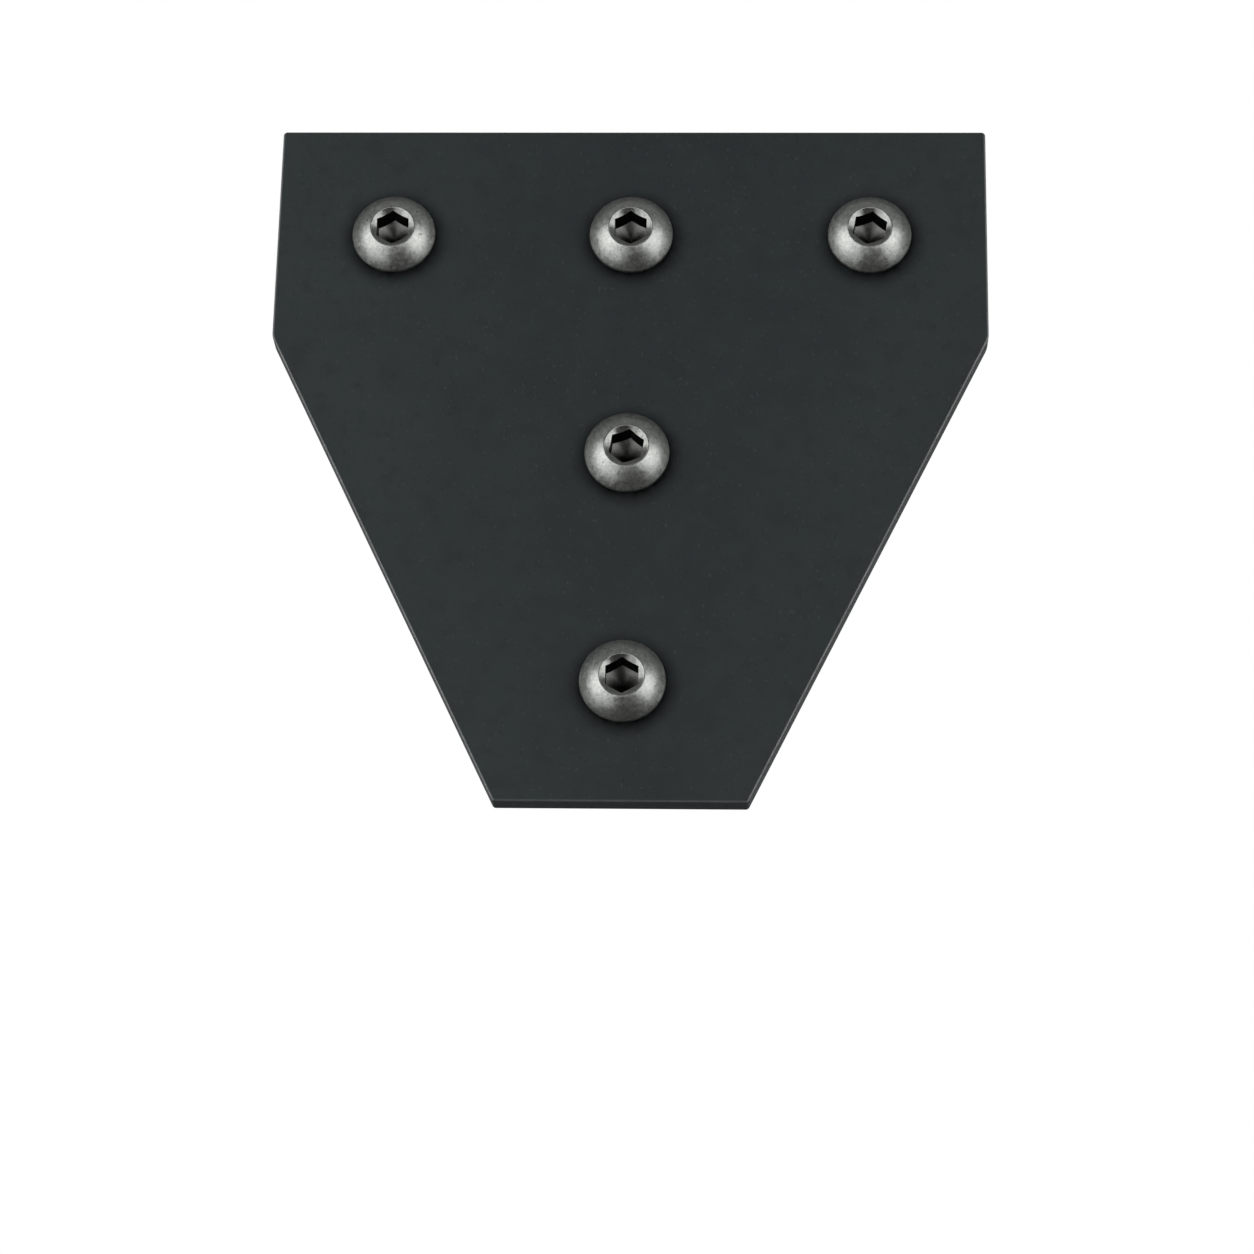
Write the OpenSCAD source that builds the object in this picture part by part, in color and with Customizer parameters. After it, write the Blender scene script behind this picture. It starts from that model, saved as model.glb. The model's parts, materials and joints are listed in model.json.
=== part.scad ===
// T corner plate with its five button head screws, in millimetres.
// X runs along the row of three holes, Z points up, and the front face looks towards -Y.
// The origin is on the back face, at the middle hole of the row, where the two arms of the T cross.

/* [Plate outline] */
// Distance between neighbouring holes, along the row and down the stem
hole_pitch = 30; // [20:0.5:45]
// Distance from the outer holes of the row to the side edges
side_margin = 14.75; // [9:0.25:25]
// Distance from the row of holes up to the top edge
top_margin = 14.75; // [9:0.25:25]
// Distance from the lowest hole down to the bottom edge of the foot
foot_margin = 15.25; // [9:0.25:25]
// Height of the straight sides, from the top edge down to the waist
side_height = 29; // [14:0.5:50]
// Width of the foot, where the tapered sides end
foot_width = 30.5; // [18:0.5:60]
// Radius of the four outer corners
corner_r = 0.5; // [0.4:0.1:4]
// Radius of the two blunt corners at the waist
waist_r = 3; // [0.5:0.5:12]

/* [Plate section] */
// Thickness of the plate
plate_t = 3; // [1.5:0.1:8]
// Chamfer that breaks the edges round both faces
edge_break = 0.2; // [0.1:0.05:0.35]
// Gap all round between a screw's shank and its hole
hole_clearance = 0.3; // [0.1:0.05:0.6]
// Chamfer on both ends of each hole
hole_chamfer = 0.2; // [0.05:0.05:0.5]

/* [Screws] */
// Nominal thread diameter
thread_d = 6; // [4:0.5:6.5]
// Length under the head
screw_l = 12; // [9:0.5:30]
// Chamfer at the tip of the thread
tip_chamfer = 0.6; // [0.2:0.1:1]
// Length of the neck under the head, where the thread has run out
neck_l = 3; // [1:0.1:6]
// Depth of the neck below the thread's crests
neck_relief = 0.35; // [0.1:0.05:0.6]
// Diameter of the button head
head_d = 10.5; // [9:0.1:14]
// Height of the head from its seat to the mouth of the socket
head_h = 2.5; // [1.8:0.1:4]
// Height of the straight rim below the dome
rim_h = 0.35; // [0.1:0.05:0.8]
// Diameter of the socket's mouth, where the dome meets the countersink
mouth_d = 5.5; // [5:0.1:7]
// Size of the hexagon key, across its flats
key_size = 4; // [2.5:0.1:4.2]
// Depth of the hexagon's corners below the mouth
socket_depth = 3; // [1.5:0.1:3.5]
// Included angle of the countersink at the mouth
countersink_angle = 120; // [90:5:150]
// Included angle of the drill point in the socket's floor
drill_angle = 120; // [100:5:140]
// Clockwise turn of the hexagon in the right screw of the row and the upper screw of the stem
key_turn = 10; // [0:1:30]

/* [Hidden] */
$fn = 96;

// How far cutting tools reach past the faces that they cut
over = 1;
// How far the corner rounds stand proud of the straight sides, so that the two surfaces cross cleanly
proud = 0.004;
// Chamfer of the corner rounds, which stands proud of the straight sides' chamfer in the same way
round_break = edge_break - proud;

// Outline of the plate, seen from the front and run anticlockwise from the foot's left corner
half_w = hole_pitch + side_margin;
waist_z = top_margin - side_height;
foot_z = -2 * hole_pitch - foot_margin;
outline = [
    [-foot_width / 2, foot_z], [foot_width / 2, foot_z], [half_w, waist_z],
    [half_w, top_margin], [-half_w, top_margin], [-half_w, waist_z],
];
outline_r = [corner_r, corner_r, waist_r, corner_r, corner_r, waist_r];
corners = [0 : len(outline) - 1];

// Holes: left, middle and right of the row, then down the stem, with each screw's turn
holes = [[-hole_pitch, 0], [0, 0], [hole_pitch, 0], [0, -hole_pitch], [0, -2 * hole_pitch]];
turns = [0, 0, -key_turn, -key_turn, 0];
thread_r = thread_d / 2;
neck_r = thread_r - neck_relief;
hole_r = thread_r + hole_clearance;

// Dome of the head: a ball centred on the axis that passes through the rim and the socket's mouth
head_r = head_d / 2;
mouth_r = mouth_d / 2;
dome_z = (head_h ^ 2 + mouth_r ^ 2 - rim_h ^ 2 - head_r ^ 2) / (2 * (head_h - rim_h));
dome_r = norm([head_r, rim_h - dome_z]);

// Socket: corner radius of the hexagon, and the depths of its countersink and drill point
key_r = key_size / 2 / cos(30);
countersink_depth = mouth_r / tan(countersink_angle / 2);
drill_depth = key_r / tan(drill_angle / 2);

function unit(v) = v / norm(v);
function wrap(i) = (i + len(outline)) % len(outline);

// Directions from corner i back to the corner before it and on to the corner after it
function back(i) = unit(outline[wrap(i - 1)] - outline[i]);
function ahead(i) = unit(outline[wrap(i + 1)] - outline[i]);
function half_angle(i) = acos(back(i) * ahead(i)) / 2;

// Round of corner i: where it leaves the side before it, its centre, and where it joins the side after it
function round_start(i) = outline[i] + back(i) * outline_r[i] / tan(half_angle(i));
function round_centre(i) = outline[i] + unit(back(i) + ahead(i)) * outline_r[i] / sin(half_angle(i));
function round_end(i) = outline[i] + ahead(i) * outline_r[i] / tan(half_angle(i));

// Turns what is drawn face on, with its height towards the viewer, to stand upright
module upright() {
    rotate([90, 0, 0]) children();
}

// Waste of one broken edge, with the sharp edge at the origin and the plate in the first quadrant
module edge_waste() {
    polygon([[-over, -over], [edge_break + over, -over], [-over, edge_break + over]]);
}

// Waste along both edges of the straight side from a to b, run on past its ends
module side_waste(a, b) {
    run = b - a;
    run_on = edge_break / 2;
    translate(a)
        rotate([0, 0, atan2(run.y, run.x)])
            rotate([90, 0, 90])
                translate([0, 0, -run_on])
                    linear_extrude(norm(run) + 2 * run_on) {
                        edge_waste();
                        translate([0, plate_t]) mirror([0, 1]) edge_waste();
                    }
}

// Turned round of one corner, with its edges broken
module corner_round(r) {
    rim = r + proud;
    rotate_extrude()
        polygon([
            [0, 0], [rim - round_break, 0], [rim, round_break],
            [rim, plate_t - round_break], [rim - round_break, plate_t], [0, plate_t],
        ]);
}

// The plate before drilling: straight sides with a notch at each corner, which its round fills
module blank() {
    difference() {
        linear_extrude(plate_t)
            polygon([for (i = corners) each [round_start(i), round_centre(i), round_end(i)]]);
        for (i = corners) side_waste(round_end(i), round_start(wrap(i + 1)));
    }
    for (i = corners) translate(round_centre(i)) corner_round(outline_r[i]);
}

// Drill for one hole, with a countersink for each end
module hole_drill() {
    translate([0, 0, -over]) cylinder(r = hole_r, h = plate_t + 2 * over);
    for (end = [0, 1])
        translate([0, 0, end * plate_t])
            mirror([0, 0, end])
                translate([0, 0, -over])
                    cylinder(r1 = hole_r + hole_chamfer + over, r2 = hole_r, h = hole_chamfer + over);
}

module t_plate() {
    color([0.18, 0.2, 0.2])
        upright()
            difference() {
                blank();
                for (p = holes) translate(p) hole_drill();
            }
}

// Half section of a screw before broaching, with its seat at zero and its domed head upwards
module screw_section() {
    polygon([
        [0, -screw_l], [thread_r - tip_chamfer, -screw_l], [thread_r, tip_chamfer - screw_l],
        [thread_r, -neck_l], [neck_r, neck_relief - neck_l], [neck_r, 0],
        [head_r, 0], [head_r, rim_h], [0, rim_h],
    ]);
    intersection() {
        translate([0, dome_z]) circle(dome_r);
        translate([0, rim_h]) square([head_r, dome_r]);
    }
}

// Socket with its mouth at zero: countersink, then a hexagon with a corner upwards and a drill point
module socket_waste() {
    sink_h = countersink_depth + dome_r;
    translate([0, 0, -countersink_depth])
        cylinder(r1 = 0, r2 = sink_h * tan(countersink_angle / 2), h = sink_h);
    intersection() {
        translate([0, 0, -socket_depth - drill_depth])
            rotate([0, 0, 30])
                cylinder(r = key_r, h = socket_depth + drill_depth, $fn = 6);
        translate([0, 0, -socket_depth - drill_depth])
            cylinder(r1 = 0, r2 = key_r + socket_depth * tan(drill_angle / 2), h = drill_depth + socket_depth);
    }
}

module button_head_screw(turn) {
    difference() {
        rotate_extrude() screw_section();
        translate([0, 0, head_h]) rotate([0, 0, turn]) socket_waste();
    }
}

module button_head_screws() {
    color([0.55, 0.55, 0.53])
        upright()
            for (i = [0 : len(holes) - 1])
                translate([each holes[i], plate_t]) button_head_screw(turns[i]);
}

t_plate();
button_head_screws();
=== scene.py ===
# Looks of the T corner plate and its five button head screws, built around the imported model.
import json
import math

import bmesh
import bpy
from mathutils import Matrix, Vector


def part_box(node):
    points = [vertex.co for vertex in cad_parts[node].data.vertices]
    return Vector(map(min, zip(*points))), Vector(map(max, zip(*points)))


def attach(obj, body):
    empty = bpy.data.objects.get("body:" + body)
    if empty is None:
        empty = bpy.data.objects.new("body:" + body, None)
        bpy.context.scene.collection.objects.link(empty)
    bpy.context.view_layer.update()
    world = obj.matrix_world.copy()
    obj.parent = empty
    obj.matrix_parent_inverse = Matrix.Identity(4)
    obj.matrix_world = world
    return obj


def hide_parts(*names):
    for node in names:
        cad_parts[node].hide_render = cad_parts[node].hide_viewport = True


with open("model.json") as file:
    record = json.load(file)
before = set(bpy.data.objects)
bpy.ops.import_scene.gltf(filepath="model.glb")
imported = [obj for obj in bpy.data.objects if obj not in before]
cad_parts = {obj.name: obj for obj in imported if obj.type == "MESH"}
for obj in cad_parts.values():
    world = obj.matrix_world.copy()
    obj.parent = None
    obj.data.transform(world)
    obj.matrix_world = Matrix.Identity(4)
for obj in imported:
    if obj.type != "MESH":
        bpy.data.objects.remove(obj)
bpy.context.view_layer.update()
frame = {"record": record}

MM = 0.001

# Sizes and places that the frame gives, in metres
plate_low, plate_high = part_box("t_plate")
screws_low, screws_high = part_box("button_head_screws")
mount_sizes = {mount["name"]: mount["dims"] for mount in frame["record"]["mounts"]}
HOLE_PITCH = mount_sizes["stem_screws"]["spacing_y_mm"] * MM
THREAD_R = mount_sizes["row_screws"]["stud_r_mm"] * MM
FRONT_Y = plate_low.y
BACK_Y = plate_high.y
HEAD_R = screws_high.x - HOLE_PITCH
HEAD_H = FRONT_Y - screws_low.y
TIP_Y = screws_high.y

# Plate outline, rounded edges and holes, in metres
SIDE_HEIGHT = 29 * MM
WAIST_Z = plate_high.z - SIDE_HEIGHT
FOOT_WIDTH = 30.5 * MM
CORNER_R = 0.5 * MM
WAIST_R = 3 * MM
EDGE_R = 0.28 * MM
HOLE_CLEARANCE = 0.3 * MM
HOLE_R = THREAD_R + HOLE_CLEARANCE

# How worn the plate's level edges are, as a share of the wear on its upright ones; the smaller share is
# painted shade, as less light falls along level edges
LEVEL_WEAR_AND_SHADE = 0.45

# How finely the plate's edges, corners and holes are divided
EDGE_STEPS = 6
ARC_STEP = math.radians(6)
ARC_STEPS_LEAST = 4
HOLE_POINTS = 72

# Screw heads and their sockets, in metres, with half of each cone's included angle
RIM_H = 0.35 * MM
MOUTH_R = 2.75 * MM
KEY_SIZE = 4 * MM
KEY_R = KEY_SIZE / 2 / math.cos(math.radians(30))
KEY_TURN = math.radians(10)
SOCKET_DEPTH = 3 * MM
COUNTERSINK_HALF = math.radians(60)
DRILL_HALF = math.radians(60)

# How far the rounding of a head's edges reaches along the sides that meet there, in metres
MOUTH_EASE = 0.12 * MM
RIM_EASE = 0.15 * MM
SEAT_EASE = 0.08 * MM

# Screw shanks, in metres
NECK_L = 3 * MM
NECK_RELIEF = 0.35 * MM
NECK_R = THREAD_R - NECK_RELIEF
THREAD_PITCH = 1 * MM
THREAD_DEPTH = 0.613 * MM
TIP_RELIEF = 0.02 * MM
TIP_R = THREAD_R - THREAD_DEPTH - TIP_RELIEF

# Where the thread's crest ends and its root begins, in pitches from the middle of the crest
THREAD_CREST = 1 / 16
THREAD_ROOT = 3 / 8

# How finely the screws are divided, and the distance and angle at which points join and edges turn sharp
ROUND_POINTS = 96
DOME_RINGS = 16
EASE_STEPS = 5
WELD_DISTANCE = 0.0005 * MM
SHARP_ANGLE = math.radians(28)

# Painted shade in the sockets, from 0 to 1, on their walls and countersinks
WALL_SHADE = 1.0
COUNTERSINK_SHADE = 0.4

# Rings of a socket's floor, as shares of its radius, how much its painted shade lifts at its rim, and the
# share of that lift which the painted shade on its low side takes back
FLOOR_SHARES = (0.05, 0.2, 0.35, 0.5, 0.65, 0.8, 1.0)
FLOOR_RIM_LIFT = 0.55
FLOOR_LOW_SIDE_SHARE = 0.75

# Painted contact shadow round the heads: where it starts, how far it reaches, and how it lies off the axis
# in x and z
SHADOW_R = HEAD_R - 0.3 * MM
SHADOW_REACH = 2.7 * MM
SHADOW_SHIFT = (0.15 * MM, -0.5 * MM)

# Colours of the plate, as linear red, green and blue with an alpha of 1
PLATE_DEEP = (0.0325, 0.0405, 0.0432, 1)
PLATE_PALE = (0.047, 0.0585, 0.0612, 1)
PLATE_GREENISH = (0.0368, 0.0512, 0.0508, 1)
PLATE_BLUISH = (0.0328, 0.0395, 0.0425, 1)
PLATE_SPECK = (0.014, 0.016, 0.016, 1)
PLATE_NICK = (0.08, 0.09, 0.09, 1)
# Near black, for the painted contact shadow round the heads
PLATE_SHADOW = (0.002, 0.002, 0.002, 1)
PLATE_WORN = (0.39, 0.4, 0.395, 1)

# Colours of the screws, written in the same way
STEEL_DULL = (0.39, 0.402, 0.381, 1)
STEEL_BRIGHT = (0.615, 0.629, 0.6, 1)
STEEL_GRAIN = (0.205, 0.215, 0.202, 1)
STEEL_STAIN = (0.14, 0.147, 0.138, 1)
# Near black, for the painted shade in the sockets
STEEL_SHADE = (0.03, 0.03, 0.029, 1)

# How metallic the steel is under its grey film, and how rough its countersinks are against its domes
STEEL_METALLIC = 0.86
COUNTERSINK_ROUGH = 0.6

# How much rougher the plate's milled walls are than its faces
MILLED_ROUGH = 0.3

# Places of the screws, as x and z, with the clockwise turn of each hexagon
SCREWS = {
    "screw_left": (-HOLE_PITCH, 0.0, 0.0),
    "screw_middle": (0.0, 0.0, 0.0),
    "screw_right": (HOLE_PITCH, 0.0, KEY_TURN),
    "screw_stem": (0.0, -HOLE_PITCH, KEY_TURN),
    "screw_foot": (0.0, -2 * HOLE_PITCH, 0.0),
}

# Camera: a point that it looks at, its distance from there, and the angles of its view
LOOK_AT = Vector((0.00031, 0.0, -0.05182))
LOOK_DISTANCE = 0.4627
LOOK_YAW = math.radians(-2.28)
LOOK_PITCH = math.radians(21.19)
LOOK_ROLL = math.radians(1.12)
FIELD_OF_VIEW = math.radians(18.76)
CLIP_START = 0.01

# Floor and dark flags, in metres, with their tones and the floor's own glow
FLOOR_Z = -0.36
FLOOR_SIZE = 30.0
FLOOR_TONE = 0.45
FLOOR_GLOW = 0.8
FLAG_Z = FLOOR_Z + 0.06
FLAG_TONE = 0.05
SIDE_FLAG_PLACE = Vector((0.3, 0.1, -0.03))
SIDE_FLAG_SIZE = (0.5, 0.36)
SIDE_FLAG_TONE = 0.15

# Lamps
LAMP_SIZE = 0.9
LAMP_SPREAD = math.radians(120)
LAMP_TARGET = Vector((0, 0, -0.03))

# World: its level overhead and ahead of the plate, and where the dimming there starts and is full
DIM_OVERHEAD = 0.2
OVERHEAD_TILT = math.radians(15)
OVERHEAD_START = 0.36
OVERHEAD_FULL = 0.68
DIM_AHEAD = 0.1
AHEAD_RISE = math.radians(20)
AHEAD_START = math.radians(46)
AHEAD_FULL = math.radians(30)


def add_object(name, data):
    thing = bpy.data.objects.new(name, data)
    bpy.context.scene.collection.objects.link(thing)
    return thing


def smooth_mesh(name, bm):
    """A mesh made from bm, smooth and with its faces turned outwards."""
    bmesh.ops.recalc_face_normals(bm, faces=bm.faces)
    for face in bm.faces:
        face.smooth = True
    mesh = bpy.data.meshes.new(name)
    bm.to_mesh(mesh)
    bm.free()
    return mesh


# Plate

def corner_stations(corner, before, after, radius):
    """The round of one outline corner, as (centre, radius, outward direction) for each of its points."""
    back = (before - corner).normalized()
    ahead = (after - corner).normalized()
    half = back.angle(ahead) / 2
    centre = corner + (back + ahead).normalized() * radius / math.sin(half)
    middle = (corner - centre).normalized()
    sweep = math.pi - 2 * half
    steps = max(ARC_STEPS_LEAST, math.ceil(sweep / ARC_STEP))
    stations = []
    for k in range(steps + 1):
        turn = Matrix.Rotation(sweep * (k / steps - 0.5), 2)
        stations.append((centre, radius, turn @ middle))
    return stations


def outline_stations():
    """The plate's outline in x and z, anticlockwise from the foot's left corner."""
    corners = [
        (Vector((-FOOT_WIDTH / 2, plate_low.z)), CORNER_R),
        (Vector((FOOT_WIDTH / 2, plate_low.z)), CORNER_R),
        (Vector((plate_high.x, WAIST_Z)), WAIST_R),
        (Vector((plate_high.x, plate_high.z)), CORNER_R),
        (Vector((plate_low.x, plate_high.z)), CORNER_R),
        (Vector((plate_low.x, WAIST_Z)), WAIST_R),
    ]
    stations = []
    for i, (corner, radius) in enumerate(corners):
        before = corners[i - 1][0]
        after = corners[(i + 1) % len(corners)][0]
        stations += corner_stations(corner, before, after, radius)
    return stations


def hole_stations(x, z):
    """A hole's wall, whose outward direction points at its axis."""
    stations = []
    for k in range(HOLE_POINTS):
        angle = 2 * math.pi * k / HOLE_POINTS
        inward = Vector((-math.cos(angle), -math.sin(angle)))
        stations.append((Vector((x, z)), -HOLE_R, inward))
    return stations


def edge_profile():
    """Inset, y and the normal's outward and y parts, from the front face round the wall to the back."""
    angles = [math.pi / 2 * k / EDGE_STEPS for k in range(EDGE_STEPS + 1)]
    profile = []
    for angle in angles:
        out_part = math.sin(angle)
        y_part = math.cos(angle)
        profile.append((EDGE_R * (1 - out_part), FRONT_Y + EDGE_R * (1 - y_part), out_part, -y_part))
    for angle in angles:
        out_part = math.cos(angle)
        y_part = math.sin(angle)
        profile.append((EDGE_R * (1 - out_part), BACK_Y - EDGE_R * (1 - y_part), out_part, y_part))
    return profile


def plate_mesh():
    bm = bmesh.new()
    profile = edge_profile()
    normals = []
    wear_and_shade = []
    borders = ([], [])
    loops = [outline_stations()] + [hole_stations(x, z) for x, z, _ in SCREWS.values()]
    for stations in loops:
        rings = []
        for inset, y, out_part, y_part in profile:
            ring = []
            for centre, radius, outward in stations:
                p = centre + outward * (radius - inset)
                ring.append(bm.verts.new((p.x, y, p.y)))
                normals.append(Vector((outward.x * out_part, y_part, outward.y * out_part)))
                # Wear on the edges' rounds, cut to a share on level edges as painted shade
                on_edge = (2 * out_part * y_part) ** 2
                wear_and_shade.append(on_edge * (LEVEL_WEAR_AND_SHADE + (1 - LEVEL_WEAR_AND_SHADE) * abs(outward.x)))
            rings.append(ring)
        for near, far in zip(rings, rings[1:]):
            for k in range(len(near)):
                after = (k + 1) % len(near)
                bm.faces.new((near[k], near[after], far[after], far[k]))
        for border, ring in zip(borders, (rings[0], rings[-1])):
            for k in range(len(ring)):
                border.append(bm.edges.get((ring[k], ring[(k + 1) % len(ring)])))
    for border in borders:
        bmesh.ops.triangle_fill(bm, use_beauty=True, edges=border)
    mesh = smooth_mesh("plate", bm)
    mesh.normals_split_custom_set_from_vertices(normals)
    attribute = mesh.attributes.new("edge_wear_and_shade", "FLOAT", "POINT")
    attribute.data.foreach_set("value", wear_and_shade)
    return mesh


# Screws

def ease(before, corner, after, reach):
    """A rounded corner of a half section: points from one side to the other."""
    start = corner + (before - corner).normalized() * reach
    end = corner + (after - corner).normalized() * reach
    points = []
    for k in range(EASE_STEPS + 1):
        t = k / EASE_STEPS
        points.append(start * (1 - t) ** 2 + corner * 2 * t * (1 - t) + end * t**2)
    return points


def dome_points():
    """The dome's arc, as radius and height above the seat, from the socket's mouth to the rim."""
    centre_h = (HEAD_H**2 + MOUTH_R**2 - RIM_H**2 - HEAD_R**2) / (2 * (HEAD_H - RIM_H))
    dome_r = math.hypot(HEAD_R, RIM_H - centre_h)
    first = math.asin(MOUTH_R / dome_r) + MOUTH_EASE / dome_r
    last = math.asin(HEAD_R / dome_r) - RIM_EASE / dome_r
    points = []
    for k in range(DOME_RINGS + 1):
        angle = first + (last - first) * k / DOME_RINGS
        points.append(Vector((dome_r * math.sin(angle), centre_h + dome_r * math.cos(angle))))
    return points


def head_section():
    """Half section of the head from the countersink to the neck, as radius and height above the seat."""
    mouth = Vector((MOUTH_R, HEAD_H))
    slope = Vector((math.sin(COUNTERSINK_HALF), math.cos(COUNTERSINK_HALF)))
    rim = Vector((HEAD_R, RIM_H))
    foot = Vector((HEAD_R, 0.0))
    dome = dome_points()
    section = ease(mouth - slope * MOUTH_EASE, mouth, dome[0], MOUTH_EASE)
    section += dome[1:-1]
    section += ease(dome[-1], rim, foot, RIM_EASE)
    section += ease(rim, foot, Vector((NECK_R, 0.0)), SEAT_EASE)
    section += [Vector((NECK_R + NECK_RELIEF, 0.0)), Vector((NECK_R, -NECK_RELIEF))]
    return section


def hexagon_radius(angle, turn):
    """Distance from the axis to the hexagon's wall, with a corner where the angle equals the turn."""
    side = math.radians(60)
    within = (angle - turn) % side - side / 2
    return KEY_SIZE / 2 / math.cos(within)


def floor_shade(share, angle):
    """How much painted shade the socket's floor has: most in the drill point and on its low side."""
    low = 0.5 - 0.5 * math.cos(angle)
    return 1 - FLOOR_RIM_LIFT * share * (1 - FLOOR_LOW_SIDE_SHARE * low)


def thread_radius(phase):
    """Radius of the thread's profile over one pitch: a flat crest, straight flanks and a flat root."""
    across = abs((phase + 0.5) % 1 - 0.5)
    share = min(1.0, max(0.0, (across - THREAD_CREST) / (THREAD_ROOT - THREAD_CREST)))
    return THREAD_R - THREAD_DEPTH * share


class ScrewShape:
    """One screw, built ring by ring round its axis, with angles clockwise from the top."""

    def __init__(self, x, z, turn):
        self.x = x
        self.z = z
        self.turn = turn
        self.angles = [turn + 2 * math.pi * k / ROUND_POINTS for k in range(ROUND_POINTS)]
        self.bm = bmesh.new()
        # Painted shade of the socket, from 0 to 1, on each face
        self.socket_shade = self.bm.faces.layers.float.new("socket")

    def vertex(self, angle, radius, height):
        """A point by its angle, its distance from the axis and its height above the head's seat."""
        across = self.x + radius * math.sin(angle)
        upward = self.z + radius * math.cos(angle)
        return self.bm.verts.new((across, FRONT_Y - height, upward))

    def ring(self, radius, height):
        return [self.vertex(angle, radius, height) for angle in self.angles]

    def bridge(self, near, far, socket_shade=0.0):
        """The band of faces between two rings."""
        band = []
        for k in range(ROUND_POINTS):
            after = (k + 1) % ROUND_POINTS
            face = self.bm.faces.new((near[k], near[after], far[after], far[k]))
            face[self.socket_shade] = socket_shade
            band.append(face)
        return band

    def cap(self, height, ring, socket_shade=0.0):
        """The fan of faces between a ring and a point on the axis."""
        centre = self.vertex(self.turn, 0.0, height)
        for k in range(ROUND_POINTS):
            face = self.bm.faces.new((centre, ring[k], ring[(k + 1) % ROUND_POINTS]))
            face[self.socket_shade] = socket_shade

    def add_floor(self):
        """The socket's floor, a drill point that ends at the hexagon's walls."""
        apex_h = HEAD_H - SOCKET_DEPTH - KEY_R / math.tan(DRILL_HALF)
        rings = []
        for share in FLOOR_SHARES:
            ring = []
            for angle in self.angles:
                radius = share * hexagon_radius(angle, self.turn)
                ring.append(self.vertex(angle, radius, apex_h + radius / math.tan(DRILL_HALF)))
            rings.append(ring)
        self.cap(apex_h, rings[0], socket_shade=1.0)
        for near, far, share in zip(rings, rings[1:], FLOOR_SHARES):
            for face, angle in zip(self.bridge(near, far), self.angles):
                face[self.socket_shade] = floor_shade(share, angle)
        return rings[-1]

    def add_countersink(self, floor, edge):
        """The hexagon's walls and the countersink, up to the edge where the head's section starts."""
        rings = []
        for share in (0.0, 0.5):
            ring = []
            for angle in self.angles:
                low_r = hexagon_radius(angle, self.turn)
                radius = low_r + (edge.x - low_r) * share
                height = edge.y - (edge.x - radius) / math.tan(COUNTERSINK_HALF)
                ring.append(self.vertex(angle, radius, height))
            rings.append(ring)
        self.bridge(floor, rings[0], WALL_SHADE)
        rings.append(self.ring(edge.x, edge.y))
        for near, far in zip(rings, rings[1:]):
            self.bridge(near, far, COUNTERSINK_SHADE)
        return rings[-1]

    def add_head(self, mouth, section):
        """The dome, rim and seat, from the mouth of the socket to the neck."""
        rings = [mouth] + [self.ring(point.x, point.y) for point in section[1:]]
        for near, far in zip(rings, rings[1:]):
            self.bridge(near, far)
        return rings[-1]

    def add_shank(self, neck):
        """The neck, then a thread whose rows run along the helix, squeezed against its two ends."""
        start_h = NECK_RELIEF - NECK_L
        end_h = FRONT_Y - TIP_Y
        self.bridge(neck, self.ring(NECK_R, start_h))
        self.cap(end_h, self.ring(TIP_R, end_h))
        flank = (THREAD_CREST + THREAD_ROOT) / 2
        phases = (-THREAD_CREST, THREAD_CREST, flank, THREAD_ROOT, 1 / 2, 1 - THREAD_ROOT, 1 - flank)
        laps = math.ceil((start_h - end_h) / THREAD_PITCH)
        rows = []
        for lap in range(-1, laps + 1):
            for phase in phases:
                row = []
                for k, angle in enumerate(self.angles):
                    along = (lap + phase + k / ROUND_POINTS) * THREAD_PITCH
                    height = min(start_h, max(end_h, start_h - along))
                    grown = min(1.0, (start_h - height) / THREAD_PITCH)
                    radius = NECK_R + (thread_radius(phase) - NECK_R) * grown
                    row.append(self.vertex(angle, min(radius, TIP_R + (height - end_h)), height))
                rows.append(row)
        self.join_rows(rows, len(phases))

    def join_rows(self, rows, lap_rows):
        """Faces between the thread's rows, whose ends meet the rows that start one lap further on."""
        for j, (near, far) in enumerate(zip(rows, rows[1:])):
            for k in range(ROUND_POINTS - 1):
                self.bm.faces.new((near[k], near[k + 1], far[k + 1], far[k]))
            lap_on = j + lap_rows
            if lap_on + 1 < len(rows):
                self.bm.faces.new((near[-1], rows[lap_on][0], rows[lap_on + 1][0], far[-1]))


def screw_mesh(name, x, z, turn):
    shape = ScrewShape(x, z, turn)
    section = head_section()
    mouth = shape.add_countersink(shape.add_floor(), section[0])
    shape.add_shank(shape.add_head(mouth, section))
    bm = shape.bm
    bmesh.ops.remove_doubles(bm, verts=bm.verts, dist=WELD_DISTANCE)
    bmesh.ops.delete(bm, geom=[v for v in bm.verts if not v.link_faces], context="VERTS")
    mesh = smooth_mesh(name, bm)
    mesh.set_sharp_from_angle(angle=SHARP_ANGLE)
    return mesh


# Materials

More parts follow.
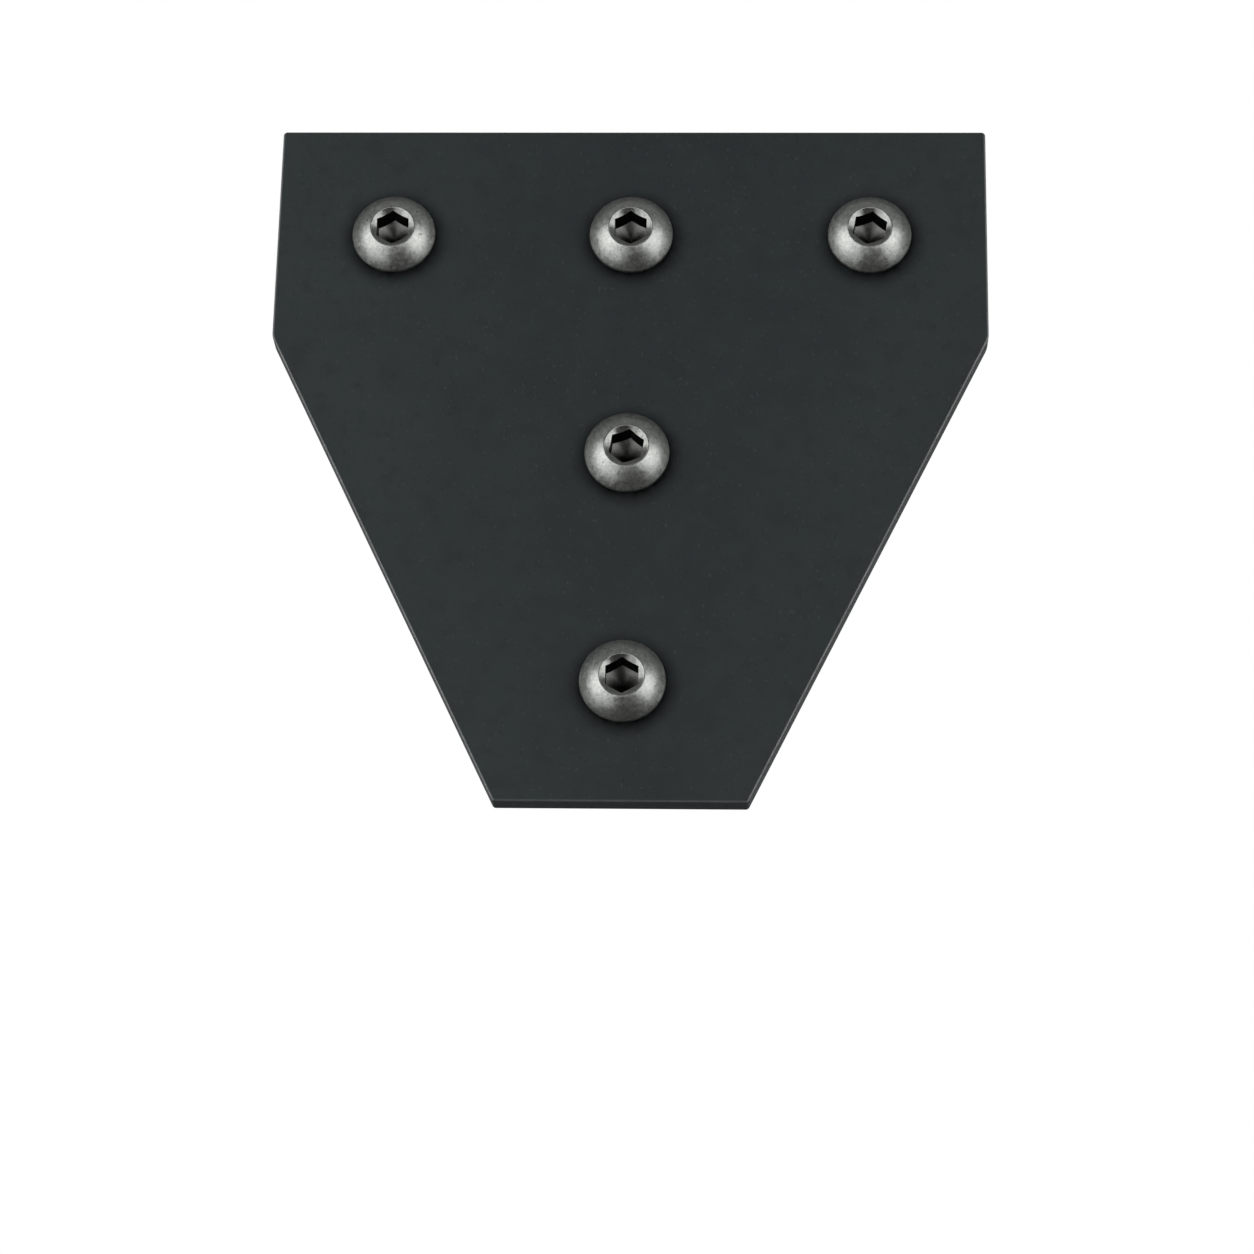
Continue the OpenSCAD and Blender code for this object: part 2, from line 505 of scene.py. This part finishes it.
class Nodes:
    """A short way to write the nodes of a material or the world."""

    def __init__(self, tree):
        self.tree = tree

    def add(self, kind, inputs=None, **settings):
        node = self.tree.nodes.new(kind)
        for key, value in settings.items():
            setattr(node, key, value)
        for key, value in (inputs or {}).items():
            self.feed(node, key, value)
        return node

    def feed(self, node, key, value):
        if isinstance(value, bpy.types.NodeSocket):
            self.tree.links.new(value, node.inputs[key])
        else:
            node.inputs[key].default_value = value

    def millimetres(self, scale=(1, 1, 1)):
        """The row frame's coordinates in millimetres, stretched by scale."""
        place = self.add("ShaderNodeTexCoord").outputs["Object"]
        grown = [s / MM for s in scale]
        return self.add("ShaderNodeMapping", {"Vector": place, "Scale": grown}).outputs["Vector"]

    def noise(self, vector, scale, detail=2.0, roughness=0.5):
        """Noise between 0 and 1, with scale in waves per millimetre."""
        inputs = {"Vector": vector, "Scale": scale, "Detail": detail, "Roughness": roughness}
        return self.add("ShaderNodeTexNoise", inputs).outputs["Fac"]

    def spread(self, value, low, high, to_low, to_high, smooth=False):
        """Value moved from one range to another, without going past its ends."""
        inputs = {"Value": value, "From Min": low, "From Max": high, "To Min": to_low, "To Max": to_high}
        kind = "SMOOTHSTEP" if smooth else "LINEAR"
        return self.add("ShaderNodeMapRange", inputs, interpolation_type=kind).outputs["Result"]

    def mix(self, factor, a, b):
        node = self.add("ShaderNodeMix", data_type="RGBA")
        self.feed(node, 0, factor)
        self.feed(node, 6, a)
        self.feed(node, 7, b)
        return node.outputs[2]

    def math(self, operation, a, b):
        return self.add("ShaderNodeMath", {0: a, 1: b}, operation=operation).outputs[0]

    def vector(self, operation, a, b):
        return self.add("ShaderNodeVectorMath", {0: a, 1: b}, operation=operation).outputs["Value"]


def new_material(name):
    material = bpy.data.materials.new(name)
    material.use_nodes = True
    return material, Nodes(material.node_tree), material.node_tree.nodes["Principled BSDF"]


def anodised_colour(nodes, place, axes):
    """Near black, with painted light that makes it paler towards the sides and most on the left, soft
    tints, dark specks and pale nicks.
    """
    cloud = nodes.noise(place, 0.11, 3.0)
    # Painted light: paler towards both sides and more so on the left, as more light falls there; the cloud
    # adds tone that differs at random
    foot_x = FOOT_WIDTH / 2 / MM
    half_width = nodes.spread(axes["Z"], plate_low.z / MM, WAIST_Z / MM, foot_x, plate_high.x / MM)
    side = nodes.math("DIVIDE", nodes.math("ABSOLUTE", axes["X"], 0.0), half_width)
    lit_both_sides = nodes.spread(side, 0.3, 0.8, 0, 0.45)
    lit_left_side = nodes.spread(axes["X"], -40.0, 0.0, 0.3, 0)
    painted_side_light = nodes.math("ADD", lit_both_sides, lit_left_side)
    pale = nodes.math("ADD", painted_side_light, nodes.spread(cloud, 0.35, 0.65, 0, 0.3))
    colour = nodes.mix(pale, PLATE_DEEP, PLATE_PALE)
    tint = nodes.noise(place, 0.35, 2.0)
    colour = nodes.mix(nodes.spread(tint, 0.52, 0.66, 0, 0.5), colour, PLATE_GREENISH)
    colour = nodes.mix(nodes.spread(tint, 0.34, 0.48, 0.5, 0), colour, PLATE_BLUISH)
    specks = nodes.spread(nodes.noise(place, 1.7, 1.0), 0.28, 0.34, 0.3, 0)
    colour = nodes.mix(specks, colour, PLATE_SPECK)
    nicks = nodes.spread(nodes.noise(nodes.millimetres((1.3, 1, 0.8)), 2.1, 1.0), 0.68, 0.76, 0, 0.6)
    return nodes.mix(nicks, colour, PLATE_NICK)


def shadow_round_heads(nodes, depth):
    """How much painted contact shadow lies on the front face, most of it against the heads and below them.
    """
    flat = nodes.millimetres((1, 0, 1))
    nearest = HOLE_PITCH / MM
    for x, z, _ in SCREWS.values():
        middle = ((x + SHADOW_SHIFT[0]) / MM, 0, (z + SHADOW_SHIFT[1]) / MM)
        nearest = nodes.math("MINIMUM", nearest, nodes.vector("DISTANCE", flat, middle))
    near = nodes.spread(nearest, SHADOW_R / MM, (SHADOW_R + SHADOW_REACH) / MM, 1.0, 0.0)
    front = nodes.spread(depth, FRONT_Y / MM, (FRONT_Y + EDGE_R) / MM, 1.0, 0.0)
    return nodes.math("MULTIPLY", nodes.math("MULTIPLY", near, near), front)


def milled_walls(nodes, depth):
    """1 on the walls round the plate and in its holes, and 0 on its two faces."""
    past_front = nodes.spread(depth, FRONT_Y / MM, (FRONT_Y + EDGE_R) / MM, 0, 1)
    before_back = nodes.spread(depth, (BACK_Y - EDGE_R) / MM, BACK_Y / MM, 1, 0)
    return nodes.math("MULTIPLY", past_front, before_back)


def plate_material():
    material, nodes, shader = new_material("black_anodised")
    place = nodes.millimetres()
    axes = nodes.add("ShaderNodeSeparateXYZ", {0: place}).outputs
    patches = nodes.spread(nodes.noise(place, 0.8), 0.3, 0.7, 0.75, 0.95)
    # Painted contact shadow round the heads, broken up in patches
    head_shadow = nodes.math("MULTIPLY", shadow_round_heads(nodes, axes["Y"]), patches)
    edges = nodes.add("ShaderNodeAttribute", attribute_name="edge_wear_and_shade").outputs["Fac"]
    # Pale worn metal on the edges, less on level ones, where the lower share is painted shade
    worn_and_shaded = nodes.math("MULTIPLY", edges, nodes.spread(nodes.noise(place, 0.9, 3.0), 0.3, 0.7, 0.7, 1.0))
    colour = anodised_colour(nodes, place, axes)
    colour = nodes.mix(head_shadow, colour, PLATE_SHADOW)
    colour = nodes.mix(worn_and_shaded, colour, PLATE_WORN)
    nodes.feed(shader, "Base Color", colour)
    # Metallic is raised on the worn edges and in the painted contact shadow, where with the near-black
    # colour it takes the gloss away
    nodes.feed(shader, "Metallic", nodes.math("MAXIMUM", worn_and_shaded, head_shadow))
    grain = nodes.noise(place, 5.0, 2.0)
    rolled = nodes.noise(nodes.millimetres((0.5, 1, 3)), 1.6, 2.0)
    rough = nodes.spread(nodes.math("ADD", grain, rolled), 0.7, 1.3, 0.42, 0.56)
    milled = nodes.math("MULTIPLY", milled_walls(nodes, axes["Y"]), MILLED_ROUGH)
    nodes.feed(shader, "Roughness", nodes.math("ADD", rough, milled))
    bump = nodes.add("ShaderNodeBump", {"Strength": 0.25, "Distance": 0.01 * MM, "Height": grain})
    nodes.feed(shader, "Normal", bump.outputs["Normal"])
    return material


def steel_material():
    material, nodes, shader = new_material("satin_steel")
    place = nodes.millimetres()
    mottle = nodes.noise(place, 1.6, 4.0, 0.65)
    grain = nodes.noise(place, 3.4, 3.0, 0.6)
    colour = nodes.mix(nodes.spread(mottle, 0.32, 0.68, 0, 1), STEEL_DULL, STEEL_BRIGHT)
    colour = nodes.mix(nodes.spread(grain, 0.32, 0.5, 0.6, 0), colour, STEEL_GRAIN)
    stains = nodes.spread(nodes.noise(place, 1.3, 3.0, 0.6), 0.27, 0.36, 0.7, 0)
    colour = nodes.mix(stains, colour, STEEL_STAIN)
    # Painted shade darkens the socket's walls, countersink and floor towards near black, and also scales
    # their roughness
    socket_shade = nodes.add("ShaderNodeAttribute", attribute_name="socket").outputs["Fac"]
    colour = nodes.mix(socket_shade, colour, STEEL_SHADE)
    nodes.feed(shader, "Base Color", colour)
    shader.inputs["Metallic"].default_value = STEEL_METALLIC
    rough = nodes.spread(nodes.math("ADD", mottle, grain), 0.7, 1.3, 0.28, 0.42)
    smoothed = nodes.spread(socket_shade, 0.0, COUNTERSINK_SHADE, 1.0, COUNTERSINK_ROUGH)
    dulled = nodes.spread(socket_shade, COUNTERSINK_SHADE, 1 - FLOOR_RIM_LIFT, 0.0, 1 - COUNTERSINK_ROUGH)
    nodes.feed(shader, "Roughness", nodes.math("MULTIPLY", rough, nodes.math("ADD", smoothed, dulled)))
    bump = nodes.add("ShaderNodeBump", {"Strength": 0.6, "Distance": 0.02 * MM, "Height": grain})
    nodes.feed(shader, "Normal", bump.outputs["Normal"])
    return material


def matt_material(name, tone):
    material, nodes, shader = new_material(name)
    shader.inputs["Base Color"].default_value = (tone, tone, tone, 1)
    shader.inputs["Roughness"].default_value = 1.0
    return material, nodes, shader


def floor_material():
    """Pale, with a glow that the camera, gloss and glass see but that sheds no diffuse light."""
    material, nodes, shader = matt_material("pale_floor", FLOOR_TONE)
    shader.inputs["Specular IOR Level"].default_value = 0.0
    path = nodes.add("ShaderNodeLightPath").outputs
    seen = nodes.math("MAXIMUM", path["Is Camera Ray"], path["Is Glossy Ray"])
    seen = nodes.math("MAXIMUM", seen, path["Is Transmission Ray"])
    shader.inputs["Emission Color"].default_value = (1, 1, 1, 1)
    nodes.feed(shader, "Emission Strength", nodes.math("MULTIPLY", seen, FLOOR_GLOW))
    return material


# Stage

def make_card(name, size):
    bm = bmesh.new()
    bmesh.ops.create_grid(bm, x_segments=1, y_segments=1, size=0.5)
    bmesh.ops.scale(bm, vec=(*size, 1), verts=bm.verts)
    mesh = bpy.data.meshes.new(name)
    bm.to_mesh(mesh)
    bm.free()
    card = add_object(name, mesh)
    return card


def make_floor():
    floor = make_card("floor", (FLOOR_SIZE, FLOOR_SIZE))
    floor.location.z = FLOOR_Z
    floor.data.materials.append(floor_material())


def make_flag(name, place, size, tone=FLAG_TONE, upright=False):
    """A dark card out of the camera's sight, which keeps the reflections beside it dark."""
    flag = make_card(name, size)
    flag.location = place
    flag.rotation_euler.y = math.radians(90) if upright else 0.0
    material, _, _ = matt_material(name, tone)
    flag.data.materials.append(material)
    flag.visible_camera = False
    flag.visible_diffuse = False
    flag.visible_shadow = False


def make_flags():
    """Flags just above the floor before, behind and below the plate, and one beside each side."""
    make_flag("flag_front", (0.115, -0.42, FLAG_Z), (0.49, 0.95))
    make_flag("flag_behind", (0, 1.1, FLAG_Z), (0.7, 1.9))
    make_flag("flag_below", (0, -0.045, FLAG_Z), (0.8, 0.21))
    for name, side in (("flag_left", -1), ("flag_right", 1)):
        place = SIDE_FLAG_PLACE * Vector((side, 1, 1))
        make_flag(name, place, SIDE_FLAG_SIZE, SIDE_FLAG_TONE, upright=True)


def make_world():
    """White round the horizon and below it, dim overhead and straight ahead of the plate."""
    world = bpy.data.worlds.new("studio")
    world.use_nodes = True
    bpy.context.scene.world = world
    nodes = Nodes(world.node_tree)
    direction = nodes.add("ShaderNodeTexCoord").outputs["Generated"]
    overhead = (0, -math.sin(OVERHEAD_TILT), math.cos(OVERHEAD_TILT))
    height = nodes.vector("DOT_PRODUCT", direction, overhead)
    level = nodes.spread(height, OVERHEAD_START, OVERHEAD_FULL, 1.0, DIM_OVERHEAD, smooth=True)
    ahead = (0, -math.cos(AHEAD_RISE), math.sin(AHEAD_RISE))
    nearness = nodes.vector("DOT_PRODUCT", direction, ahead)
    start = math.cos(AHEAD_START)
    gap = nodes.spread(nearness, start, math.cos(AHEAD_FULL), 1.0, DIM_AHEAD, smooth=True)
    background = world.node_tree.nodes["Background"]
    background.inputs["Color"].default_value = (1, 1, 1, 1)
    nodes.feed(background, "Strength", nodes.math("MULTIPLY", level, gap))


def add_lamp(name, place, power):
    """A soft lamp that faces the plate, out of the camera's sight."""
    data = bpy.data.lights.new(name, "AREA")
    data.size = LAMP_SIZE
    data.spread = LAMP_SPREAD
    data.energy = power
    lamp = add_object(name, data)
    lamp.location = place
    lamp.rotation_mode = "QUATERNION"
    lamp.rotation_quaternion = (LAMP_TARGET - Vector(place)).to_track_quat("-Z", "Y")
    lamp.visible_camera = False


def make_camera():
    view = Vector((
        math.sin(LOOK_YAW) * math.cos(LOOK_PITCH),
        math.cos(LOOK_YAW) * math.cos(LOOK_PITCH),
        math.sin(LOOK_PITCH),
    ))
    level = Vector((math.cos(LOOK_YAW), -math.sin(LOOK_YAW), 0))
    right = Matrix.Rotation(-LOOK_ROLL, 3, view) @ level
    up = right.cross(view)
    data = bpy.data.cameras.new("camera")
    data.sensor_fit = "HORIZONTAL"
    data.angle = FIELD_OF_VIEW
    data.clip_start = CLIP_START
    camera = add_object("camera", data)
    turned = Matrix((right, up, -view)).transposed()
    camera.matrix_world = Matrix.Translation(LOOK_AT - view * LOOK_DISTANCE) @ turned.to_4x4()
    bpy.context.scene.camera = camera


# The object
plate = add_object("plate", plate_mesh())
plate.data.materials.append(plate_material())
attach(plate, "root")
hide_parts("t_plate")

steel = steel_material()
for name, (x, z, turn) in SCREWS.items():
    screw = add_object(name, screw_mesh(name, x, z, turn))
    screw.data.materials.append(steel)
    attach(screw, "root")
    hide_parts("button_head_screws")

# The stage, light and camera
make_floor()
make_flags()
make_world()
add_lamp("key", (-0.75, -0.62, 0.02), 1.2)
add_lamp("fill", (0.75, -0.66, -0.03), 1.08)
make_camera()
bpy.context.scene.view_settings.view_transform = "Standard"
